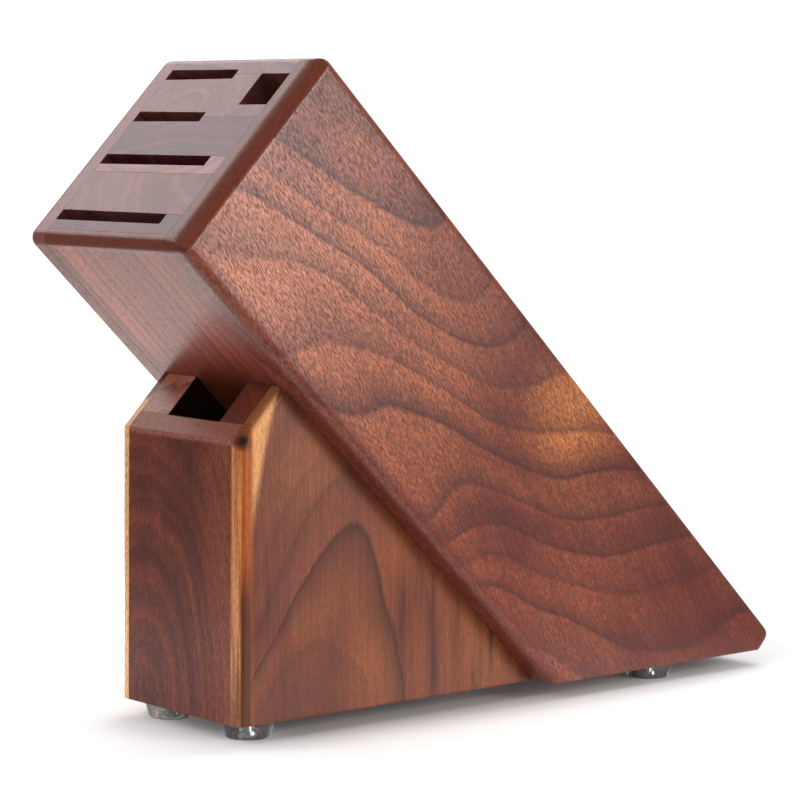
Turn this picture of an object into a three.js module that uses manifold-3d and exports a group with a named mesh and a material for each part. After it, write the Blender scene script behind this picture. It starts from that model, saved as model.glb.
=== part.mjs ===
// A walnut knife block: a tilted main block laminated from boards, with four knife slots and a channel
// for a honing steel, glued onto a front block with a pocket for kitchen shears, on four clear feet.
// Millimetres, +Z up. X runs from the slot face (-X) to the tail (+X), and Y runs across the block,
// with the near side at -Y. The origin is on the floor, under the middle of the block.
import * as THREE from "three";
import { mergeVertices } from "three/addons/utils/BufferGeometryUtils.js";
import Module from "manifold-3d";

const wasm = await Module();
wasm.setup();

// Main block. Lengths along its tilted axis start at the slot face, and heights start at its underside.
const TILT = THREE.MathUtils.degToRad(43.75); // how far the axis falls below level
const BLOCK_WIDTH = 89;
const FACE_HEIGHT = 87.3; // slot face, measured up the face
const UNDERSIDE_LENGTH = 234.9; // from the slot face down to the sawn bottom
const BOTTOM_LENGTH = 112.6; // sawn bottom, from the underside to the tail
const NEAR_PANEL = 11.5; // thickness of the near side panel
const FAR_PANEL = 10; // and of the far one
const SIDE_ROUND = 3.6; // round-over along the edges of each side
const CROSS_ROUND = 4; // round-over of the edges that run across the block
const FACE_EASE = [4.6, 8]; // the slot face's near edge: oval round-over, down the axis and in from the side
const SAWN_AWAY = 2.5; // what the flat bottom cut takes off the rounded lower edges
const GLUE_LINE = 0.1; // gap between glued pieces

// Slots. Each one is a groove milled into the boards' faces, open to a side panel.
const SLOT_GAP = 4.4;
const LONG_SLOT = 59.2; // how far a slot reaches in from the far panel
const SHORT_SLOT = 38;
const STEEL_DEPTH = 14.4; // honing steel channel, down from the top of its board
const STEEL_WIDTH = 15; // and in from the near panel

// Front block, upright, with its top bevelled square to the main block's axis.
const FRONT_WIDTH = 68;
const FRONT_REACH = 136.6; // from the underside's lower end forward to the front face
const FRONT_TOP = 102.8; // height of the front face's top edge above the floor
const FRONT_SIDE = 5; // thickness of its side panels
const FRONT_BOARD = 5; // thickness of its front board
const FRONT_ROUND = 3.3; // round-over along the outer edges of its side panels
const BEVEL_ROUND = 1.2; // eased edge between the front face and the bevel
const POCKET_NEAR = -15.9; // shears pocket, from its near wall
const POCKET_FAR = 13.1; // to its far wall

// Feet and their screws.
const FLOOR_GAP = 6.3; // height of the sawn bottom above the floor
const FOOT_TOP_RADIUS = 9.6;
const FOOT_BASE_RADIUS = 8;
const FOOT_RECESS_RADIUS = 5;
const FOOT_RECESS = 3.2; // depth of the recess that hides the screw head
const SCREW_RADIUS = 1.6;
const SCREW_HEAD_RADIUS = 3.3;
const SCREW_TIP = 14.5; // height of the screw's tip above the floor
const FRONT_FEET = { x: -123.4, y: 21.7 }; // x from the underside's lower end, y from the middle
const REAR_FEET = { x: 63.8, y: 31 };

const REACH = 500; // longer than anything here, for slabs and cutting tools
const ARC_STEPS = 6; // facets in each rounded corner

const walnut = (color) => new THREE.MeshStandardMaterial({ color, roughness: 0.45, metalness: 0 });
const PANEL_WALNUT = walnut(0x8a4b33);
const FAR_WALNUT = walnut(0x7d4a38);
const PALE_WALNUT = walnut(0xa5806f);
const MAUVE_WALNUT = walnut(0x8b6f6c);
const DARK_WALNUT = walnut(0x5a3a30);
const SAPWOOD_EDGE = walnut(0x9c5a30);
const CHEEK_WALNUT = walnut(0x6b4030);
const CLEAR_PLASTIC = new THREE.MeshStandardMaterial({
  color: 0xf2f4f2,
  roughness: 0.08,
  metalness: 0,
  transparent: true,
  opacity: 0.35,
});
const ZINC_STEEL = new THREE.MeshStandardMaterial({ color: 0xb9bcc0, roughness: 0.3, metalness: 1 });

// Core boards, from the underside up.
const CORE_BOARDS = [
  { name: "underside_board", thickness: 4.6, material: PALE_WALNUT },
  { name: "lower_slot_board", thickness: 9, material: MAUVE_WALNUT },
  { name: "heart_board", thickness: 18, material: PALE_WALNUT },
  { name: "long_slot_board", thickness: 8.2, material: PALE_WALNUT },
  { name: "middle_board", thickness: 18, material: MAUVE_WALNUT },
  { name: "steel_board", thickness: 20.3, material: PALE_WALNUT },
  { name: "top_board", thickness: 9.2, material: PALE_WALNUT },
];
const seamUnder = (name) => {
  const below = CORE_BOARDS.slice(0, CORE_BOARDS.findIndex((board) => board.name === name));
  return below.reduce((height, board) => height + board.thickness, 0);
};

// Knife slots: the top of each one above the underside, and its reach in from the far panel.
const KNIFE_SLOTS = [
  { top: seamUnder("heart_board"), reach: LONG_SLOT },
  { top: seamUnder("middle_board"), reach: LONG_SLOT },
  { top: seamUnder("steel_board") + SLOT_GAP / 2, reach: SHORT_SLOT },
  { top: seamUnder("top_board") + SLOT_GAP / 2, reach: SHORT_SLOT },
];

const NEAR_SEAM = NEAR_PANEL - BLOCK_WIDTH / 2; // y where the core meets the near panel
const FAR_SEAM = BLOCK_WIDTH / 2 - FAR_PANEL; // and the far panel
const FRONT_CORE_HALF = FRONT_WIDTH / 2 - FRONT_SIDE;

// Solids

function toSolid(geometry) {
  geometry.deleteAttribute("normal");
  geometry.deleteAttribute("uv");
  const merged = mergeVertices(geometry, 1e-4);
  return new wasm.Manifold(
    new wasm.Mesh({
      numProp: 3,
      vertProperties: merged.attributes.position.array,
      triVerts: new Uint32Array(merged.index.array),
    }),
  );
}

function toMesh(name, solid, material) {
  const { vertProperties, triVerts } = solid.getMesh();
  const geometry = new THREE.BufferGeometry();
  geometry.setAttribute("position", new THREE.BufferAttribute(vertProperties, 3));
  geometry.setIndex(new THREE.BufferAttribute(triVerts, 1));
  geometry.computeVertexNormals();
  const mesh = new THREE.Mesh(geometry, material);
  mesh.name = name;
  return mesh;
}

// A box between two corners, [x, y, z] each.
function slab(low, high) {
  const size = high.map((value, axis) => value - low[axis]);
  const middle = high.map((value, axis) => (value + low[axis]) / 2);
  return toSolid(new THREE.BoxGeometry(...size).translate(...middle));
}

// An outline of [x, z] corners, extruded across the block between two values of y.
// round takes its two outer edges off by a quarter circle.
function acrossBlock(shape, lowY, highY, round = 0) {
  const geometry = new THREE.ExtrudeGeometry(shape, {
    depth: highY - lowY - 2 * round,
    curveSegments: ARC_STEPS / 2,
    bevelEnabled: round > 0,
    bevelSegments: ARC_STEPS,
    bevelThickness: round,
    bevelSize: round,
    bevelOffset: -round,
  });
  return toSolid(geometry.rotateX(Math.PI / 2).translate(0, highY - round, 0));
}

function sharpOutline(corners) {
  return new THREE.Shape(corners.map(([x, z]) => new THREE.Vector2(x, z)));
}

// The same outline with each corner rounded by an arc of the radius at that corner's place in radii.
function roundedOutline(corners, radii) {
  const shape = new THREE.Shape();
  const points = corners.map(([x, z]) => new THREE.Vector2(x, z));
  points.forEach((corner, i) => {
    const back = points.at(i - 1).clone().sub(corner).normalize();
    const on = points[(i + 1) % points.length].clone().sub(corner).normalize();
    const halfAngle = Math.acos(back.dot(on)) / 2;
    const toCentre = back.clone().add(on).setLength(radii[i] / Math.sin(halfAngle));
    const centre = corner.clone().add(toCentre);
    const setback = radii[i] / Math.tan(halfAngle);
    const start = corner.clone().addScaledVector(back, setback).sub(centre);
    const end = corner.clone().addScaledVector(on, setback).sub(centre);
    shape.absarc(centre.x, centre.y, radii[i], start.angle(), end.angle(), false);
  });
  return shape;
}

// Everything of an outline's prism, its edges across the block rounded by radii and its sides by round.
function roundedPrism(corners, radii, halfWidth, round) {
  const sides = acrossBlock(sharpOutline(corners), -halfWidth, halfWidth, round);
  const crossEdges = acrossBlock(roundedOutline(corners, radii), -REACH, REACH);
  return sides.intersect(crossEdges);
}

// The main block, in its own tilted frame: x down the axis, z up the slot face

const mainBlock = new THREE.Group();
mainBlock.position.set(
  -UNDERSIDE_LENGTH * Math.cos(TILT),
  0,
  FLOOR_GAP + UNDERSIDE_LENGTH * Math.sin(TILT),
);
mainBlock.rotation.y = TILT;
mainBlock.updateMatrix();
const fromFloorToTilted = mainBlock.matrix.clone().invert();

// A level point under the main block in its tilted frame: forward of the underside's lower end, and up.
function levelPoint(x, z) {
  const point = new THREE.Vector3(x, 0, z).applyMatrix4(fromFloorToTilted);
  return [point.x, point.z];
}

function tiltedEnvelope() {
  const bottom = FLOOR_GAP - SAWN_AWAY;
  const heel = levelPoint(SAWN_AWAY / Math.tan(TILT), bottom);
  const tail = levelPoint(BOTTOM_LENGTH, bottom);
  const corners = [[0, 0], heel, tail, [tail[0], FACE_HEIGHT], [0, FACE_HEIGHT]];
  const outline = roundedOutline(corners, Array(5).fill(CROSS_ROUND));
  const sawn = new THREE.BoxGeometry(2 * REACH, 2 * REACH, REACH);
  sawn.translate(0, 0, FLOOR_GAP - REACH / 2).applyMatrix4(fromFloorToTilted);
  return acrossBlock(outline, -BLOCK_WIDTH / 2, BLOCK_WIDTH / 2, SIDE_ROUND)
    .intersect(easedFace())
    .subtract(toSolid(sawn));
}

// Everything behind the slot face, its near edge eased by a quarter of an oval.
function easedFace() {
  const [down, inwards] = FACE_EASE;
  const half = BLOCK_WIDTH / 2;
  const shape = new THREE.Shape();
  shape.moveTo(REACH, -half).lineTo(REACH, REACH).lineTo(0, REACH);
  shape.absellipse(down, inwards - half, down, inwards, Math.PI, 1.5 * Math.PI, false);
  const geometry = new THREE.ExtrudeGeometry(shape, {
    depth: 2 * REACH,
    curveSegments: 2 * ARC_STEPS,
    bevelEnabled: false,
  });
  return toSolid(geometry.translate(0, 0, -REACH));
}

function knifeSlot({ top, reach }) {
  return slab([-REACH, FAR_SEAM - reach, top - SLOT_GAP], [REACH, FAR_SEAM + GLUE_LINE, top]);
}

function steelChannel() {
  const top = seamUnder("top_board");
  const low = [-REACH, NEAR_SEAM - GLUE_LINE, top - STEEL_DEPTH];
  return slab(low, [REACH, NEAR_SEAM + STEEL_WIDTH, top]);
}

function sidePanel(envelope, side) {
  const near = [-REACH, NEAR_SEAM - GLUE_LINE / 2];
  const far = [FAR_SEAM + GLUE_LINE / 2, REACH];
  const [low, high] = side < 0 ? near : far;
  return envelope.intersect(slab([-REACH, low, -REACH], [REACH, high, REACH]));
}

// One core board: its layer of the envelope, less its grooves and the screw holes that reach it.
function coreBoard(envelope, { name, thickness }, cuts) {
  const seam = seamUnder(name);
  const low = [-REACH, NEAR_SEAM + GLUE_LINE / 2, seam + GLUE_LINE / 2];
  const high = [REACH, FAR_SEAM - GLUE_LINE / 2, seam + thickness - GLUE_LINE / 2];
  const layer = envelope.intersect(slab(low, high));
  return cuts.reduce((board, cut) => board.subtract(cut), layer);
}

// The front block, level: x forward of the underside's lower end is negative

function frontEnvelope() {
  const bottom = FLOOR_GAP - SAWN_AWAY;
  const bevelRun = [REACH * Math.sin(TILT), REACH * Math.cos(TILT)];
  const corners = [
    [-FRONT_REACH, bottom],
    [REACH, bottom],
    [-FRONT_REACH + bevelRun[0], FRONT_TOP + bevelRun[1]],
    [-FRONT_REACH, FRONT_TOP],
  ];
  const radii = [BEVEL_ROUND, BEVEL_ROUND, BEVEL_ROUND, BEVEL_ROUND];
  const sawn = slab([-2 * REACH, -REACH, -REACH], [2 * REACH, REACH, FLOOR_GAP]);
  const aboveUnderside = new THREE.BoxGeometry(4 * REACH, 2 * REACH, 2 * REACH);
  aboveUnderside.translate(0, 0, REACH - GLUE_LINE).applyMatrix4(mainBlock.matrix);
  return roundedPrism(corners, radii, FRONT_WIDTH / 2, FRONT_ROUND)
    .subtract(sawn)
    .subtract(toSolid(aboveUnderside));
}

function frontPiece(envelope, lowX, highX, lowY, highY) {
  return envelope.intersect(slab([lowX, lowY, -REACH], [highX, highY, REACH]));
}

// Feet and screws, each about its own upright axis

const FOOT_PLACES = [
  { name: "near_front", x: FRONT_FEET.x, y: -FRONT_FEET.y },
  { name: "far_front", x: FRONT_FEET.x, y: FRONT_FEET.y },
  { name: "near_rear", x: REAR_FEET.x, y: -REAR_FEET.y },
  { name: "far_rear", x: REAR_FEET.x, y: REAR_FEET.y },
];

// A solid turned about Z from a closed profile of [radius, height] points.
function turned(profile, segments) {
  const points = profile.map(([radius, height]) => new THREE.Vector2(radius, height));
  return new THREE.LatheGeometry(points, segments).rotateX(Math.PI / 2);
}

// A clear cup foot: tapered towards the floor, with a recess underneath for the screw head.
function foot() {
  const top = FLOOR_GAP - GLUE_LINE;
  const lip = 0.5;
  const bore = SCREW_RADIUS + 0.3;
  const profile = [
    [FOOT_RECESS_RADIUS, 0],
    [FOOT_BASE_RADIUS - lip, 0],
    [FOOT_BASE_RADIUS, lip],
    [FOOT_TOP_RADIUS, top - lip],
    [FOOT_TOP_RADIUS, top],
    [bore, top],
    [bore, FOOT_RECESS],
    [FOOT_RECESS_RADIUS - lip, FOOT_RECESS],
    [FOOT_RECESS_RADIUS, 0],
  ];
  return toSolid(turned(profile, 40));
}

// A pan-head screw with a cross recess, its head under the foot's recess ceiling.
function screw() {
  const seat = FOOT_RECESS - GLUE_LINE;
  const headBase = seat - 2.2;
  const taper = 2.6;
  const profile = [
    [0, headBase],
    [SCREW_HEAD_RADIUS * 0.7, headBase],
    [SCREW_HEAD_RADIUS, headBase + 1],
    [SCREW_HEAD_RADIUS, seat],
    [SCREW_RADIUS, seat],
    [SCREW_RADIUS, SCREW_TIP - taper],
    [0, SCREW_TIP],
  ];
  const arm = SCREW_HEAD_RADIUS * 0.5;
  const blade = 0.4;
  const crossDepth = headBase + 1;
  return toSolid(turned(profile, 20))
    .subtract(slab([-arm, -blade, -1], [arm, blade, crossDepth]))
    .subtract(slab([-blade, -arm, -1], [blade, arm, crossDepth]));
}

function screwHole({ x, y }) {
  const radius = SCREW_RADIUS + 0.15;
  const height = SCREW_TIP + 0.5;
  const hole = new THREE.CylinderGeometry(radius, radius, height, 20).rotateX(Math.PI / 2);
  return hole.translate(x, y, height / 2);
}

// Assembly

const envelope = tiltedEnvelope();
const grooves = [...KNIFE_SLOTS.map(knifeSlot), steelChannel()];
const rearHoles = FOOT_PLACES.slice(2).map((place) =>
  toSolid(screwHole(place).applyMatrix4(fromFloorToTilted)),
);
mainBlock.add(toMesh("near_side_panel", sidePanel(envelope, -1), PANEL_WALNUT));
mainBlock.add(toMesh("far_side_panel", sidePanel(envelope, 1), FAR_WALNUT));
for (const board of CORE_BOARDS) {
  const solid = coreBoard(envelope, board, [...grooves, ...rearHoles]);
  mainBlock.add(toMesh(board.name, solid, board.material));
}

const frontBlock = new THREE.Group();
const front = frontEnvelope();
const frontHoles = FOOT_PLACES.slice(0, 2).map((place) => toSolid(screwHole(place)));
const backOfBoard = -FRONT_REACH + FRONT_BOARD;
const behindBoard = backOfBoard + GLUE_LINE;
const sideSeam = FRONT_CORE_HALF + GLUE_LINE / 2;
const coreSeam = FRONT_CORE_HALF - GLUE_LINE / 2;
const FRONT_PIECES = [
  ["near_front_panel", SAPWOOD_EDGE, [-REACH, REACH, -REACH, -sideSeam]],
  ["far_front_panel", SAPWOOD_EDGE, [-REACH, REACH, sideSeam, REACH]],
  ["front_board", DARK_WALNUT, [-REACH, backOfBoard, -coreSeam, coreSeam]],
  ["near_cheek", CHEEK_WALNUT, [behindBoard, REACH, -coreSeam, POCKET_NEAR]],
  ["far_cheek", CHEEK_WALNUT, [behindBoard, REACH, POCKET_FAR, coreSeam]],
];
for (const [name, material, limits] of FRONT_PIECES) {
  const piece = frontHoles.reduce((solid, hole) => solid.subtract(hole), frontPiece(front, ...limits));
  frontBlock.add(toMesh(name, piece, material));
}

const fittings = new THREE.Group();
for (const { name, x, y } of FOOT_PLACES) {
  const footMesh = toMesh(`${name}_foot`, foot(), CLEAR_PLASTIC);
  const screwMesh = toMesh(`${name}_foot_screw`, screw(), ZINC_STEEL);
  footMesh.position.set(x, y, 0);
  screwMesh.position.set(x, y, 0);
  fittings.add(footMesh, screwMesh);
}

const knifeBlock = new THREE.Group();
knifeBlock.add(mainBlock, frontBlock, fittings);
const bounds = new THREE.Box3().setFromObject(knifeBlock, true);
knifeBlock.position.x = -(bounds.min.x + bounds.max.x) / 2;

export default knifeBlock;
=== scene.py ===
"""A tilted walnut knife block on clear feet: its looks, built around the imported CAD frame."""
import math

import bmesh
import bpy
import numpy as np
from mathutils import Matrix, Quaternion, Vector
from mathutils.bvhtree import BVHTree


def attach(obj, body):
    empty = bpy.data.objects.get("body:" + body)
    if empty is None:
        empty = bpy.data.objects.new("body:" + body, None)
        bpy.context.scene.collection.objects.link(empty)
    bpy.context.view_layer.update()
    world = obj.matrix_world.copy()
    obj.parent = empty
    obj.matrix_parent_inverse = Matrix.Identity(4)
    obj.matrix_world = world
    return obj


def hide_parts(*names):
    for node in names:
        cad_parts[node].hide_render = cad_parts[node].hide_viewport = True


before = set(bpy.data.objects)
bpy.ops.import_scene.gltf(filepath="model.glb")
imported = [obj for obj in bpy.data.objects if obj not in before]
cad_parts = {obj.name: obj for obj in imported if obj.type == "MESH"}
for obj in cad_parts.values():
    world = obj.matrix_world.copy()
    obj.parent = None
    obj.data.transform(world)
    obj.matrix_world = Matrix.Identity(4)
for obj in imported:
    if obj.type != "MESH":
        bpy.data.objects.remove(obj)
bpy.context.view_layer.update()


# ---------------------------------------------------------------- measures, in millimetres

TILT = math.radians(43.75)
DOWN = Vector((math.cos(TILT), 0, -math.sin(TILT)))  # from the slot face to the tail
RISE = Vector((math.sin(TILT), 0, math.cos(TILT)))  # up the slot face
BACK = Vector((1, 0, 0))
NEAR = Vector((0, -1, 0))
UP = Vector((0, 0, 1))

# The main block.
HALF_WIDTH = 44.5
UNDERSIDE_LENGTH = 234.9
FACE_HEIGHT = 87.3
HEEL = Vector((24.655, 0, 6.3))  # lower end of the underside, where the sawn bottom starts
FACE_FOOT = HEEL - UNDERSIDE_LENGTH * DOWN  # lower edge of the slot face
FACE_TOP = FACE_FOOT + FACE_HEIGHT * RISE  # upper edge of the slot face

# The front block.
FRONT_HALF_WIDTH = 34
FRONT_FACE = -111.95  # x of its front
FRONT_TOP = 102.8  # height of its front, where the bevel starts
FRONT_BOARD = 5  # thickness of its front board
POCKET = (-15.9, 13.1)  # y of the shears pocket's near and far walls
FRONT_ORIGIN = Vector((FRONT_FACE, 0, 125))  # its figure is measured back and down from here
FRONT_CORNER = FRONT_ORIGIN + FRONT_HALF_WIDTH * NEAR
BEVEL_FOOT = Vector((FRONT_FACE, -FRONT_HALF_WIDTH, FRONT_TOP))


def add_object(name, data):
    thing = bpy.data.objects.new(name, data)
    bpy.context.scene.collection.objects.link(thing)
    return thing


# ---------------------------------------------------------------- camera

# Fitted to the photograph.
LENS = 126.34
SENSOR = 36
AZIMUTH = math.radians(-41.285)
ELEVATION = math.radians(5.376)
ROLL = math.radians(0.592)
EYE = Vector((-0.68373, -0.76522, 0.20476))  # metres


def add_camera():
    data = bpy.data.cameras.new("camera")
    data.lens = LENS
    data.sensor_width = SENSOR
    camera = add_object("camera", data)
    view = Vector((
        -math.sin(AZIMUTH) * math.cos(ELEVATION),
        math.cos(AZIMUTH) * math.cos(ELEVATION),
        -math.sin(ELEVATION),
    ))
    camera.location = EYE
    camera.rotation_mode = "QUATERNION"
    camera.rotation_quaternion = view.to_track_quat("-Z", "Y") @ Quaternion((0, 0, 1), ROLL)
    bpy.context.scene.camera = camera


# ---------------------------------------------------------------- node building

def rgb(code):
    """A linear colour from six hex digits."""
    parts = [int(code[i:i + 2], 16) / 255 for i in (0, 2, 4)]
    linear = [p / 12.92 if p <= 0.04045 else ((p + 0.055) / 1.055) ** 2.4 for p in parts]
    return (*linear, 1)


class Net:
    """Short calls for the nodes of one material. A value is a socket, a vector or a number."""

    def __init__(self, name):
        self.material = bpy.data.materials.new(name)
        self.material.use_nodes = True
        self.tree = self.material.node_tree
        self.shader = self.tree.nodes["Principled BSDF"]

    def feed(self, socket, value):
        if isinstance(value, bpy.types.NodeSocket):
            self.tree.links.new(value, socket)
        elif isinstance(value, Vector):
            socket.default_value = tuple(value)
        else:
            socket.default_value = value

    def set(self, **inputs):
        """Feed the shader's inputs; an underscore in a name stands for a space."""
        for key, value in inputs.items():
            self.feed(self.shader.inputs[key.replace("_", " ")], value)

    def add(self, kind, inputs=None, **settings):
        node = self.tree.nodes.new("ShaderNode" + kind)
        for key, value in settings.items():
            setattr(node, key, value)
        for key, value in (inputs or {}).items():
            self.feed(node.inputs[key], value)
        return node

    def math(self, operation, a, b=0.0, c=0.0, clamp=False):
        inputs = {0: a, 1: b, 2: c}
        return self.add("Math", inputs, operation=operation, use_clamp=clamp).outputs[0]

    def plus(self, a, b):
        return self.math("ADD", a, b)

    def times(self, a, b):
        return self.math("MULTIPLY", a, b)

    def times_plus(self, a, b, c, clamp=False):
        """a times b, plus c."""
        return self.math("MULTIPLY_ADD", a, b, c, clamp)

    def vector(self, operation, a, b):
        node = self.add("VectorMath", {0: a, 1: b}, operation=operation)
        return node.outputs["Value" if operation in ("DOT_PRODUCT", "DISTANCE") else "Vector"]

    def combine(self, x, y, z):
        return self.add("CombineXYZ", {0: x, 1: y, 2: z}).outputs[0]

    def split(self, place):
        return self.add("SeparateXYZ", {0: place}).outputs[:]

    def millimetres(self):
        """The place on the object in the row frame, in millimetres."""
        place = self.add("TexCoord").outputs["Object"]
        return self.vector("MULTIPLY", place, Vector((1000, 1000, 1000)))

    def past(self, place, start, direction):
        """How far the place is past start, along a direction."""
        return self.vector("DOT_PRODUCT", self.vector("SUBTRACT", place, start), direction)

    def along(self, place, origin, axes):
        """The place measured from origin along three axes."""
        return self.combine(*[self.past(place, origin, axis) for axis in axes])

    def flat(self, place, origin, across, down):
        """The place on a face, measured from origin along two directions."""
        return self.combine(self.past(place, origin, across), self.past(place, origin, down), 0)

    def noise(self, place, stretch, seed, detail=2.0, rough=0.5):
        """Noise from 0 to 1; stretch is how many features fit in a millimetre along each axis."""
        spot = self.vector("MULTIPLY", place, Vector(stretch))
        spot = self.vector("ADD", spot, Vector((seed * 7.31, seed * 3.17, seed * 5.71)))
        inputs = {"Vector": spot, "Scale": 1.0, "Detail": detail, "Roughness": rough}
        return self.add("TexNoise", inputs).outputs["Fac"]

    def smooth(self, value, low, high, start=0.0, end=1.0):
        """start at low, end at high, eased between."""
        return self.add("MapRange", {
            "Value": value, "From Min": low, "From Max": high, "To Min": start, "To Max": end,
        }, interpolation_type="SMOOTHSTEP").outputs[0]

    def ramp(self, value, stops, interpolation="LINEAR"):
        """A colour ramp; stops are pairs of a position and a colour or a grey."""
        node = self.add("ValToRGB", {0: value})
        node.color_ramp.interpolation = interpolation
        elements = node.color_ramp.elements
        while len(elements) < len(stops):
            elements.new(1.0)
        for element, (position, color) in zip(elements, stops):
            element.position = position
            element.color = color if isinstance(color, tuple) else (color, color, color, 1)
        return node.outputs["Color"]

    def mix(self, share, a, b, blend="MIX"):
        node = self.add("Mix", data_type="RGBA", blend_type=blend)
        self.feed(node.inputs[0], share)
        self.feed(node.inputs[6], a)
        self.feed(node.inputs[7], b)
        return node.outputs[2]

    def mix_shaders(self, share, a, b):
        node = self.add("MixShader", {0: share})
        self.tree.links.new(a, node.inputs[1])
        self.tree.links.new(b, node.inputs[2])
        return node.outputs[0]

    def patch(self, spot, centre, reach):
        """1 at centre, fading to 0 at reach."""
        distance = self.vector("DISTANCE", spot, Vector((*centre, 0)))
        return self.smooth(distance, 0, reach, 1, 0)

    def bump(self, height, metres, strength):
        inputs = {"Height": height, "Distance": metres, "Strength": strength}
        return self.add("Bump", inputs).outputs["Normal"]


# ---------------------------------------------------------------- growth rings

# How dark a ring is from its start to its end; the dark line lies just before the end.
RING_SHADE = [
    (0, 0.5), (0.045, 0.0), (0.3, 0.08), (0.6, 0.36), (0.86, 0.7), (0.95, 1.0), (1, 0.5),
]
LINE_SHIFT = -0.07  # in rings; it brings the dark line onto a drawn one


def growth_field(net, spot, lines, spacing, size, guides=()):
    """A smooth field over a face that is a whole number on each growth line.

    lines holds one list of (x, y) points per line, in order across the wood, and guides holds
    levels between them, each with its points. The field is a slope plus a grid of soft bumps, and
    the bumps' heights are solved so that it passes through the lines.
    """
    overlap = 2.1  # how many grid squares a bump reaches
    calm = 0.12  # how strongly the bumps are kept low
    unit = 100  # mm, for the slope
    known = [*enumerate(lines), *guides]
    points = np.array([point for _, line in known for point in line], float)
    levels = np.array([level for level, line in known for _ in line], float)
    reach = overlap * spacing
    columns, rows = (int(math.ceil(length / spacing)) + 1 for length in size)
    centres = np.array([(i * spacing, j * spacing) for i in range(columns) for j in range(rows)])
    away = np.linalg.norm(points[:, None] - centres[None], axis=2) / reach
    away = np.clip(away, 0, 1)
    bumps = 1 - away * away * (3 - 2 * away)
    slope = np.column_stack([points / unit, np.ones(len(points))])
    system = np.vstack([
        np.hstack([bumps, slope]),
        np.hstack([calm * np.eye(len(centres)), np.zeros((len(centres), 3))]),
    ])
    target = np.concatenate([levels, np.zeros(len(centres))])
    solved = np.linalg.lstsq(system, target, rcond=None)[0]
    *heights, right, down, level = (float(value) for value in solved)
    field = net.vector("DOT_PRODUCT", spot, Vector((right / unit, down / unit, 0)))
    field = net.plus(field, level)
    for centre, height in zip(centres, heights):
        distance = net.vector("DISTANCE", spot, Vector((*centre, 0)))
        field = net.plus(field, net.smooth(distance, 0, reach, height, 0))
    return field


def drawn_rings(net, world, field, half_width, slant):
    """The rings behind a near face: the field there, and slant more for each mm into the wood."""
    depth = net.past(world, half_width * NEAR, -NEAR)
    return net.times_plus(depth, slant, net.plus(field, LINE_SHIFT))


def pith_rings(pith, width):
    """Rings round a pith line, this wide; pith is (across, through) in the board."""
    def rings(net, place, world):
        _, across, through = net.split(place)
        across = net.plus(across, -pith[0])
        through = net.plus(through, -pith[1])
        square = net.times_plus(across, across, net.times(through, through))
        return net.times(net.math("SQRT", square), 1 / width)
    return rings


def ring_shade(net, rings, seed, strengths=()):
    """Darkness across the growth rings: each darkens towards a dark line and starts pale again.

    strengths gives how dark the first rings get; without it they differ at random."""
    late = net.ramp(net.math("FRACT", rings), RING_SHADE)
    number = net.math("FLOOR", rings)
    if strengths:
        # A ring darkens towards the line at its end, which carries the next number.
        steps = [(i / len(strengths), value) for i, value in enumerate(strengths)]
        share = net.math("DIVIDE", net.plus(number, 1.5), float(len(strengths)), clamp=True)
        return net.times(late, net.ramp(share, steps, "CONSTANT"))
    strength = net.add("TexWhiteNoise", {"W": net.plus(number, seed)}, noise_dimensions="1D")
    return net.times(late, net.times_plus(strength.outputs["Value"], 0.55, 0.45))


# ---------------------------------------------------------------- walnut

def palette(codes):
    """A board's five colours, from their hex codes."""
    return dict(zip(("dark", "middle", "pale", "line", "pore"), codes.split()))


def board_axes(grain, face):
    """A board's axes: along the grain, across its face, and through its thickness."""
    grain = grain.normalized()
    across = face.cross(grain).normalized()
    return [grain, across, grain.cross(across)]


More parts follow.
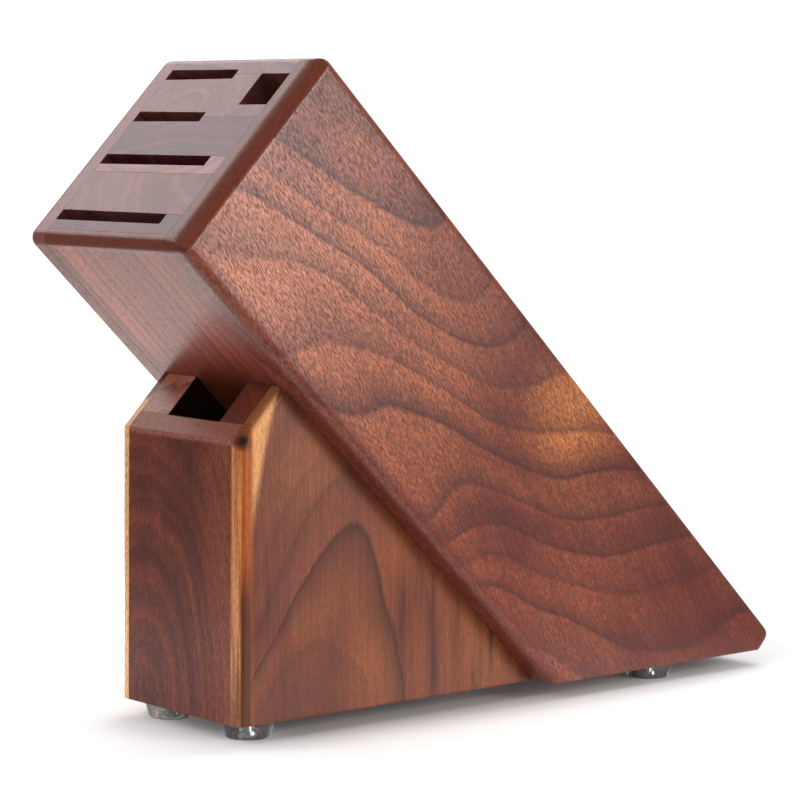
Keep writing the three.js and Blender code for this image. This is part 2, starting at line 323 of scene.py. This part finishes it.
def walnut(name, axes, tones, seed, rings, contrast=0.85, gloss=0.3, specular=0.5, wander=1.6,
           pores_and_glints=0.6, painted_sparkle=0.0, tints=(), edges=(), strengths=()):
    """Oiled walnut. tones is a palette. rings builds the ring count from (net, place along the
    board's axes, place in the row frame). tints are pairs of a share, built the same way, and a
    hex colour, and lie under the growth lines; edges are the same and lie over them."""
    net = Net(name)
    world = net.millimetres()
    place = net.along(world, FACE_FOOT, axes)

    def tinted(color, layers):
        for share, tint in layers:
            color = net.mix(share(net, place, world), color, rgb(tint))
        return color

    # Growth rings, which wander slowly along the grain.
    drift = net.noise(place, (0.012, 0.035, 0.035), seed)
    ripple = net.noise(place, (0.05, 0.16, 0.16), seed + 1)
    shift = net.times_plus(ripple, 0.35 * wander, net.times(drift, wander))
    count = net.plus(rings(net, place, world), shift)
    late = ring_shade(net, count, seed, strengths)

    # Broad changes of colour, along the board and from ring to ring.
    broad = net.noise(place, (0.006, 0.05, 0.05), seed + 2)
    ringwise = net.add("TexNoise", {
        "W": net.plus(net.times(count, 0.7), seed), "Scale": 1.0, "Detail": 1.0,
    }, noise_dimensions="1D").outputs["Fac"]
    band = net.smooth(net.times_plus(ringwise, 0.8, broad), 0.65, 1.15)

    # Fibres, the fine dark pores, and painted glints: bright streaks between the pores standing in
    # for light catching the finish.
    fibre = net.noise(place, (0.05, 1.3, 1.3), seed + 3, detail=3, rough=0.6)
    hair = net.noise(place, (0.5, 3.4, 3.4), seed + 4, detail=1.5, rough=0.6)
    pore = net.smooth(hair, 0.5, 0.66)
    glint = net.smooth(hair, 0.49, 0.38)

    color = net.ramp(band, [
        (0, rgb(tones["dark"])), (0.5, rgb(tones["middle"])), (1, rgb(tones["pale"])),
    ])
    color = tinted(color, tints)
    color = net.mix(net.times(late, contrast), color, rgb(tones["line"]))
    color = tinted(color, edges)
    color = net.mix(1.0, color, net.times_plus(fibre, 0.9, 0.55), "MULTIPLY")
    color = net.mix(net.times(pore, 0.8 * pores_and_glints), color, rgb(tones["pore"]))
    # Painted highlight: the glints brighten the colour as light catching the wood would.
    light = net.times_plus(glint, 0.65 * pores_and_glints, 1.0)
    # Painted sparkle: tiny bright specks that stand in for light glinting off the wood.
    if painted_sparkle:
        sparkle_noise = net.noise(place, (0.9, 1.4, 1.4), seed + 5, rough=0.7)
        light = net.times_plus(net.smooth(sparkle_noise, 0.66, 0.72), painted_sparkle, light)
    color = net.mix(1.0, color, light, "MULTIPLY")

    # The finish is glossier on the slot face.
    rough = net.smooth(net.past(world, FACE_FOOT, DOWN), 2.5, 6, 0.2, gloss)
    rough = net.times_plus(fibre, 0.14, net.plus(rough, -0.07))
    rough = net.times_plus(pore, 0.2, rough, clamp=True)
    height = net.times_plus(pore, -0.5 * pores_and_glints, net.times(fibre, 0.5))

    net.set(Base_Color=color, Roughness=rough, Normal=net.bump(height, 0.00006, 0.6),
            IOR=1.5, Specular_IOR_Level=specular)
    return net.material


def patches(spot, rows):
    """Round tints on a face. A row is a centre, a reach, the share at the centre and a colour."""
    def share(centre, reach, most):
        return lambda net, place, world: net.times(
            net.patch(spot(net, world), centre, reach), most)
    return [(share(centre, reach, most), tint) for centre, reach, most, tint in rows]


# ---------------------------------------------------------------- near side panel

PANEL_TONES = palette("6a2e22 823d2a 985034 4a201e 4a1c15")
PANEL_GRAIN = math.radians(12)  # how much steeper than the block the grain runs
PANEL_SIZE = (325, 87)  # mm that the growth lines cover
PANEL_GRID = 24  # mm between the bumps of their field
PANEL_SLANT = 0.09  # rings a mm into the wood

# Growth lines across the outer face: (mm down from the slot face, mm below the top).
PANEL_LINES = [
    [(0, 17), (12, 14.5), (25, 10.5), (37, 7), (42, 3)],
    [(0, 38), (20, 30), (40, 24), (55, 19), (68, 14), (75, 9), (77, 3)],
    [(0, 49), (20, 42), (40, 38), (65, 31), (80, 27), (95, 22), (105, 15), (109, 10), (110, 3)],
    [(0, 60), (12, 54), (40, 47), (58, 41), (85, 38), (100, 34), (112, 28), (122, 21), (131, 12),
     (133, 3)],
    [(20, 76), (30, 65), (40, 58), (50, 52), (56, 49.5), (75, 46), (95, 43.5), (118, 39),
     (134, 32), (146, 20), (152, 8)],
    [(60, 79), (72, 73), (84, 64), (88, 55), (93, 50), (106, 48), (120, 45.5), (130, 42),
     (141, 41), (151, 36), (160, 31), (169, 27), (173, 22), (175, 17), (184, 11), (195, 5)],
    [(80, 82), (96, 77), (109, 71), (115, 66), (117, 61), (118, 57), (121, 54), (126, 52),
     (133, 50.5), (147, 48.5), (153, 44.5), (161, 41.5), (168, 38), (178, 34.5), (186, 31),
     (191, 26), (191, 22), (190, 19), (194, 16), (200, 13), (209, 10), (211, 4)],
    [(148, 79), (147, 74), (149, 68), (154, 61), (160, 56), (171, 53), (180, 50), (189, 46),
     (200, 39), (207, 34), (213, 28), (215, 23), (218, 18), (226, 15), (231, 10), (231, 4)],
    [(158, 78), (164, 69), (171, 64), (178, 59), (189, 55), (202, 52), (210, 46), (220, 39),
     (226, 34), (230, 28), (232, 23), (239, 19), (246, 14), (248, 6)],
    [(173, 79), (176, 74), (183, 68), (194, 63), (205, 59), (222, 53), (230, 49), (244, 36),
     (250, 32), (253, 28), (258, 22), (264, 18), (270, 10), (271, 3)],
    [(204, 76), (212, 71), (222, 66), (230, 63), (243, 59), (255, 56), (263, 51), (279, 36),
     (288, 28), (290, 21), (296, 13), (296, 5)],
]
# Points between two lines, how dark the rings get, and paler and darker places.
PANEL_GUIDES = [(6.4, [(106, 83), (122, 78), (130, 72), (133, 64), (136, 58)])]
PANEL_STRENGTHS = [0.45, 1.0, 0.6, 0.9, 0.6, 0.7, 1.0, 0.85, 0.9, 0.6, 0.9, 0.7]
PANEL_PATCHES = [
    ((172, 12), 36, 0.95, "c87840"),
    ((30, 75), 105, 0.9, "cc7a5a"),
    ((110, 48), 62, 0.6, "be6c46"),
    ((60, 34), 34, 0.5, "ca7852"),
    ((4, 16), 34, 0.8, "74342a"),
    ((146, 36), 34, 0.5, "74301f"),
    ((285, 30), 120, 0.7, "602a1f"),
    ((221, 56), 42, 0.6, "98503a"),
]


def panel_spot(net, world):
    """A place on a side panel: down from the slot face and below the top."""
    return net.flat(world, FACE_TOP, DOWN, -RISE)


def near_panel_rings(net, place, world):
    field = growth_field(net, panel_spot(net, world), PANEL_LINES, PANEL_GRID, PANEL_SIZE,
                         PANEL_GUIDES)
    return drawn_rings(net, world, field, HALF_WIDTH, PANEL_SLANT)


def panel_foot_shade(net, place, world):
    """Painted shade: the darker strip along the panel's lower, rounded edge, turned from the light.
    """
    return net.smooth(net.past(world, FACE_TOP, -RISE), 80, 84, 0, 0.7)


def end_grain(net, place, world):
    """The end grain at the slot face."""
    return net.smooth(net.past(world, FACE_FOOT, DOWN), 4.2, 2.6)


def near_panel_walnut():
    grain = math.cos(PANEL_GRAIN) * DOWN - math.sin(PANEL_GRAIN) * RISE
    return walnut(
        "near_panel_walnut", board_axes(grain, NEAR), PANEL_TONES, 3.0, near_panel_rings,
        contrast=0.88, gloss=0.27, wander=0.1, pores_and_glints=1.0, strengths=PANEL_STRENGTHS,
        tints=patches(panel_spot, PANEL_PATCHES),
        edges=[(panel_foot_shade, "6e2e20"), (end_grain, "70301c")],
    )


# ---------------------------------------------------------------- near front panel

FRONT_TONES = palette("683627 7c402a 90502e 40221f 361a12")
FRONT_SIZE = (136, 119)
FRONT_GRID = 26
FRONT_SLANT = 0.07

# Growth lines from the heart outwards: (mm back from the front, mm below the origin).
FRONT_LINES = [
    [(7, 112), (14, 104), (20, 98), (26, 93), (33, 90), (38, 93), (43, 99), (50, 106), (56, 113),
     (60, 120)],
    [(3, 108), (12, 92), (22, 76), (30, 68), (36, 61), (42, 55), (50, 46), (54, 53), (58, 63),
     (62, 72), (67, 82), (71, 90), (74, 98), (76, 108), (77, 120)],
    [(4, 92), (12, 76), (20, 62), (28, 51), (38, 42), (50, 32), (62, 34), (72, 46), (80, 64),
     (83, 80), (84, 100), (85, 120)],
    [(3, 76), (10, 58), (20, 42), (32, 30), (70, 20), (96, 60), (102, 88), (103, 104), (104, 120)],
    [(4, 60), (12, 40), (24, 24), (100, 30), (112, 80), (118, 104), (122, 120)],
]
FRONT_STRENGTHS = [0.35, 1.0, 0.4, 0.25, 0.15, 0.1]
FRONT_PATCHES = [
    ((42, 62), 46, 0.7, "8c4e3a"),
    ((30, 30), 30, 0.6, "a2603e"),
    ((78, 60), 26, 0.7, "a0582c"),
    ((55, 108), 26, 0.5, "96522c"),
    ((26, 112), 34, 0.6, "683424"),
]


def front_spot(net, world):
    """A place on the front block's side: back from its front and below the origin."""
    return net.flat(world, FRONT_ORIGIN, BACK, -UP)


def near_front_rings(net, place, world):
    field = growth_field(net, front_spot(net, world), FRONT_LINES, FRONT_GRID, FRONT_SIZE)
    return drawn_rings(net, world, field, FRONT_HALF_WIDTH, FRONT_SLANT)


def from_front(net, world):
    """How far a place is behind the front."""
    return net.past(world, FRONT_CORNER, BACK)


def from_top(net, world):
    """How far a place is below the front block's origin."""
    return net.past(world, FRONT_CORNER, -UP)


def sapwood(net, place, world):
    """The pale sapwood wedge along the front edge, narrower downwards and wider into the wood."""
    wave = net.noise(place, (0.03, 0.2, 0.2), 41.0)
    edge = net.past(world, FRONT_CORNER, Vector((1, -2.4, -0.21)))
    return net.smooth(net.times_plus(wave, 4.0, edge), 19.5, 16.0)


def far_sapwood(net, place, world):
    """Pale sapwood along the far front panel's front edge."""
    wave = net.noise(place, (0.02, 0.15, 0.15), 49.0)
    return net.smooth(net.times_plus(wave, 9.0, from_front(net, world)), 15, 12)


def front_fillet(net, place, world):
    """The round-over between the front and the side: orange wood, darkened by painted shade."""
    return net.smooth(from_front(net, world), 6.4, 4.2)


def front_fillet_low(net, place, world):
    """The lower part of the round-over, where the sapwood has run out."""
    wave = net.noise(place, (0.02, 0.5, 0.5), 43.0)
    low = net.times_plus(wave, 40, from_top(net, world))
    return net.times(net.smooth(low, 72, 100), front_fillet(net, place, world))


def honey_strip(net, place, world):
    """The front edge, honey coloured and streaked, browner lower down."""
    streak = net.noise(place, (0.02, 0.7, 0.7), 45.0, detail=3)
    flat = net.smooth(from_front(net, world), 1.5, 0.9)
    fading = net.smooth(from_top(net, world), 85, 118, 1.0, 0.3)
    return net.times(net.times(flat, fading), net.smooth(streak, 0.62, 0.42, 0.3, 1.0))


def dark_streaks(net, place, world):
    """Upright dark streaks low down at the back of the side."""
    streak = net.noise(place, (0.012, 0.3, 0.3), 47.0)
    spot = net.patch(front_spot(net, world), (98, 92), 42)
    return net.times(net.smooth(streak, 0.5, 0.62, 0, 0.8), net.smooth(spot, 0, 0.5))


def bevel_edge(net, place, world):
    """The sawn bevel at the top, parallel to the slot face; on the front board, a painted sheen."""
    above = net.past(world, BEVEL_FOOT, -DOWN)
    return net.times(net.smooth(above, -1.6, -0.5), 0.85)


def bevel_knot(net, place, world):
    """A small dark knot on the corner of the bevel."""
    distance = net.vector("DISTANCE", world, BEVEL_FOOT + Vector((2.2, 1.6, -0.3)))
    return net.smooth(distance, 4.0, 1.0)


def near_front_walnut():
    return walnut(
        "near_front_walnut", board_axes(UP, NEAR), FRONT_TONES, 27.0, near_front_rings,
        contrast=0.8, specular=0.35, wander=0.15, pores_and_glints=0.3, painted_sparkle=0.8,
        strengths=FRONT_STRENGTHS,
        tints=[*patches(front_spot, FRONT_PATCHES), (dark_streaks, "4a2620")],
        edges=[
            (sapwood, "f0aa6a"), (front_fillet, "b4581c"), (front_fillet_low, "5c2b13"),
            (honey_strip, "dd9462"), (bevel_edge, "84461f"), (bevel_knot, "2e140c"),
        ],
    )


# ---------------------------------------------------------------- other boards

CORE_TONES = palette("7c4843 8a524c 975b54 5c302c 522a24")
MAUVE_TONES = palette("622a36 703241 7c3a4a 462026 3a1a1e")
PEACH_TONES = palette("9c6660 a9716a b47c74 74443c 64382f")
UNDER_TONES = palette("944636 aa5440 be624a 5e281c 562218")
DARK_TONES = palette("602f2a 6c372d 7c3f2f 462220 381a14")
CHEEK_TONES = palette("632818 6f2f1b 7d3821 481d12 3c170e")
FAR_CHEEK_TONES = palette("9c5c4a aa6852 b8745c 683426 54281c")
FACE_GRAIN = "8a524c"  # end grain on the slot face
POCKET_SHADE = "180b07"


def pocket_wall_shade(net, place, world):
    """Painted shade: the walls of the shears pocket, darkened almost to black."""
    back, across, _ = net.split(world)
    near = net.smooth(across, POCKET[0] - 0.08, POCKET[0])
    far = net.smooth(across, POCKET[1] + 0.08, POCKET[1])
    wall = FRONT_FACE + FRONT_BOARD
    behind = net.smooth(back, wall - 0.2, wall - 0.08)
    return net.times(net.times(near, far), behind)


def front_board_side(net, place, world):
    """The front board is lighter towards its near edge."""
    return net.smooth(net.split(world)[1], -6, -30, 0, 0.8)


def cross_edge(net, place, world):
    """The darker rounded edge below the slot face: end grain, darkened further by painted shade."""
    height = net.past(world, FACE_FOOT, RISE)
    return net.times(end_grain(net, place, world), net.smooth(height, 4, 2))


def shade_behind_front(net, place, world):
    """Painted shade: the underside is darker behind the front block, where it is sheltered."""
    return net.smooth(net.past(world, FACE_FOOT, DOWN), 48, 74, 0, 0.75)


def front_board_rings(net, place, world):
    """Nested ovals round a spot low down on the front board's far half."""
    wide, tall = 4.2, 8.5  # mm a ring
    ovals = net.vector("MULTIPLY", world, Vector((0, 1 / wide, 1 / tall)))
    return net.vector("DISTANCE", ovals, Vector((0, 20 / wide, 5 / tall)))


def make_walnuts():
    """The wood of each board, by node name."""
    woods = {"near_side_panel": near_panel_walnut(), "near_front_panel": near_front_walnut()}
    core = board_axes(DOWN, RISE)
    upright = board_axes(UP, -BACK)
    side_on = board_axes(UP, NEAR)

    def board(node, axes, tones, seed, rings, **looks):
        woods[node] = walnut(node + "_walnut", axes, tones, seed, rings, **looks)

    board("far_side_panel", core, PANEL_TONES, 5.0, pith_rings((60, 40), 7),
          edges=[(end_grain, FACE_GRAIN)])
    board("underside_board", core, UNDER_TONES, 7.0, pith_rings((70, 30), 5), contrast=1.0,
          edges=[(end_grain, "8a4c40"), (cross_edge, "783626"), (shade_behind_front, "6e2e1c")])
    board("lower_slot_board", core, MAUVE_TONES, 9.0, pith_rings((-20, 60), 5))
    board("heart_board", core, CORE_TONES, 11.0, pith_rings((-40, 50), 6))
    board("long_slot_board", core, PEACH_TONES, 13.0, pith_rings((10, 90), 5))
    board("middle_board", core, MAUVE_TONES, 15.0, pith_rings((-10, -70), 4))
    board("steel_board", core, CORE_TONES, 17.0, pith_rings((12, 60), 5))
    board("top_board", core, PANEL_TONES, 19.0, pith_rings((30, -60), 6),
          tints=[(end_grain, FACE_GRAIN)])
    # Painted sheen: on the front board the bevel is tinted paler and mauve.
    board("front_board", upright, DARK_TONES, 21.0, front_board_rings, contrast=0.5, specular=0.2,
          tints=[(front_board_side, "8e4e38")],
          edges=[(bevel_edge, "a06454"), (pocket_wall_shade, POCKET_SHADE)])
    board("near_cheek", upright, CHEEK_TONES, 23.0, pith_rings((20, 90), 8),
          edges=[(pocket_wall_shade, POCKET_SHADE)])
    board("far_cheek", upright, FAR_CHEEK_TONES, 25.0, pith_rings((-20, 90), 8),
          edges=[(pocket_wall_shade, POCKET_SHADE)])
    board("far_front_panel", side_on, FRONT_TONES, 29.0, pith_rings((60, 60), 9),
          edges=[(far_sapwood, "f0b47a")])
    return woods


# ---------------------------------------------------------------- shapes, in metres

EASE = 0.00028  # how far a free edge is broken
GLUED = 0.0004  # an edge this close to another board is a glued one
SHARP = math.radians(35)  # a sharper edge is broken
CREASED = math.radians(38)  # a sharper edge is shaded as a crease
FLAT = math.radians(0.4)  # a flatter edge is dissolved


def node_tree(names):
    """One search tree over the CAD meshes of these nodes."""
    vertices, polygons = [], []
    for name in names:
        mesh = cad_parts[name].data
        start = len(vertices)
        vertices += [v.co.copy() for v in mesh.vertices]
        polygons += [[start + i for i in p.vertices] for p in mesh.polygons]
    return BVHTree.FromPolygons(vertices, polygons)


def is_free(edge, neighbours):
    """Whether an edge stands clear of the other boards, near both ends and in the middle."""
    start, end = (v.co for v in edge.verts)
    gaps = [neighbours.find_nearest(start.lerp(end, t))[3] for t in (0.05, 0.5, 0.95)]
    return all(gap is None or gap > GLUED for gap in gaps)


def eased(name, wood, neighbours):
    """The board of a CAD node as one clean mesh, its free edges broken and its glued ones crisp."""
    body = bmesh.new()
    body.from_mesh(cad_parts[name].data)
    bmesh.ops.remove_doubles(body, verts=body.verts, dist=2e-6)
    bmesh.ops.dissolve_limit(body, angle_limit=FLAT, verts=body.verts, edges=body.edges)
    sharp = [e for e in body.edges if e.is_manifold and e.calc_face_angle_signed() > SHARP]
    bmesh.ops.bevel(body, geom=[e for e in sharp if is_free(e, neighbours)], offset=EASE,
                    segments=2, profile=0.5, affect="EDGES", clamp_overlap=True)
    for face in body.faces:
        face.smooth = True
    for edge in body.edges:
        edge.smooth = len(edge.link_faces) == 2 and edge.calc_face_angle() < CREASED
    mesh = bpy.data.meshes.new(name + "_board")
    body.to_mesh(mesh)
    body.free()
    mesh.materials.append(wood)
    board = add_object(name + "_board", mesh)
    board.modifiers.new("even shading", "WEIGHTED_NORMAL").keep_sharp = True
    return board


def dress_boards():
    """Each CAD board gives way to its eased copy, in its own wood."""
    woods = make_walnuts()
    for name, wood in woods.items():
        others = node_tree([n for n in woods if n != name])
        board = eased(name, wood, others)
        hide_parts(name)
        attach(board, "root")


# ---------------------------------------------------------------- feet and screws

def clear_plastic():
    net = Net("clear_plastic_gel")
    cloud = net.noise(net.millimetres(), (0.5, 0.5, 0.5), 2.0, detail=3)
    net.set(
        Base_Color=net.mix(cloud, rgb("f4f6f3"), rgb("e6ebe8")),
        Roughness=net.times_plus(cloud, 0.05, 0.02),
        Normal=net.bump(cloud, 0.0002, 0.4),
        Transmission_Weight=0.96,
        IOR=1.45,
    )
    return net.material


def zinc_steel():
    net = Net("zinc_plated_steel")
    place = net.millimetres()
    turning = net.noise(place, (0.3, 0.3, 9.0), 4.0)
    spots = net.noise(place, (1.2, 1.2, 1.2), 6.0, detail=3)
    net.set(
        Base_Color=net.mix(spots, rgb("c9ccd0"), rgb("a9adb2")),
        Roughness=net.times_plus(turning, 0.25, 0.18),
        Normal=net.bump(turning, 0.00004, 0.5),
        Metallic=1.0,
    )
    return net.material


def dress_fittings():
    """The feet and their screws keep their CAD shapes."""
    plastic, steel = clear_plastic(), zinc_steel()
    for name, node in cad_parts.items():
        if name.endswith("_foot"):
            node.data.materials[0] = plastic
        elif name.endswith("_foot_screw"):
            node.data.materials[0] = steel


# ---------------------------------------------------------------- studio, in metres

FLOOR_RADIUS = 0.42


def softbox(name, place, aim, size, radiance):
    """A rectangular light that the camera doesn't see, as bright to look at as radiance says."""
    data = bpy.data.lights.new(name, "AREA")
    data.shape = "RECTANGLE"
    data.size, data.size_y = size
    data.energy = radiance * math.pi * size[0] * size[1]
    light = add_object(name, data)
    light.location = place
    light.rotation_mode = "QUATERNION"
    light.rotation_quaternion = (Vector(aim) - Vector(place)).to_track_quat("-Z", "Y")
    light.visible_camera = False


def floor_material():
    """White paper that glows as painted light away from the block, and fades out into the white
    background.
    """
    net = Net("white_sweep")
    place = net.millimetres()
    back, across, _ = net.split(place)
    mottle = net.noise(place, (0.02, 0.02, 0.02), 8.0, detail=4)

    # Painted light: it glows faintly, more where the floor is open than close under the block.
    beside = net.smooth(net.math("ABSOLUTE", across), 30, 65)
    ahead = net.smooth(back, -75, -150)
    open_floor = net.math("ADD", beside, ahead, clamp=True)
    net.set(
        Base_Color=net.mix(mottle, rgb("f3f3f3"), rgb("f6f6f6")),
        Roughness=0.7,
        Emission_Color=(1, 1, 1, 1),
        Emission_Strength=net.times_plus(open_floor, 0.38, 0.02),
    )

    # Painted light: behind the block it glows as bright as the background, and further out it isn't
    # there.
    behind = net.times(net.smooth(across, 48, 135), net.smooth(back, -260, -170))
    glow = net.add("Emission", {"Color": (1, 1, 1, 1), "Strength": 1.7}).outputs[0]
    surface = net.mix_shaders(behind, net.shader.outputs[0], glow)
    away = net.vector("DISTANCE", place, Vector((-40, 90, 0)))
    nothing = net.add("BsdfTransparent").outputs[0]
    surface = net.mix_shaders(net.smooth(away, 190, 300), surface, nothing)
    net.tree.links.new(surface, net.tree.nodes["Material Output"].inputs["Surface"])
    return net.material


def add_floor():
    disc = bmesh.new()
    bmesh.ops.create_circle(disc, cap_ends=True, segments=96, radius=FLOOR_RADIUS)
    mesh = bpy.data.meshes.new("floor")
    disc.to_mesh(mesh)
    disc.free()
    mesh.materials.append(floor_material())
    add_object("floor", mesh)


def add_world():
    """White, and brighter to the camera than as a light."""
    world = bpy.data.worlds.new("studio")
    bpy.context.scene.world = world
    world.use_nodes = True
    tree = world.node_tree
    background = tree.nodes["Background"]
    background.inputs["Color"].default_value = (1, 1, 1, 1)
    path = tree.nodes.new("ShaderNodeLightPath")
    strength = tree.nodes.new("ShaderNodeMapRange")
    strength.inputs["To Min"].default_value = 0.25
    strength.inputs["To Max"].default_value = 1.1
    tree.links.new(path.outputs["Is Camera Ray"], strength.inputs["Value"])
    tree.links.new(strength.outputs[0], background.inputs["Strength"])


def add_studio():
    add_floor()
    add_world()
    middle = (0, 0, 0.1)
    softbox("back_wall", (0.1, 2.2, 1.85), middle, (3.2, 1.0), 2.3)
    softbox("right_key", (0.76, -1.74, 0.53), (0, 0, 0.4), (1.0, 1.0), 7.5)
    softbox("left_fill", (-1.7, -0.1, 1.3), middle, (1.0, 1.0), 4)
    softbox("right_fill", (1.0, 0.3, 2.0), middle, (1.4, 1.2), 4)


def main():
    bpy.context.scene.view_settings.view_transform = "Standard"
    add_camera()
    dress_boards()
    dress_fittings()
    add_studio()


main()
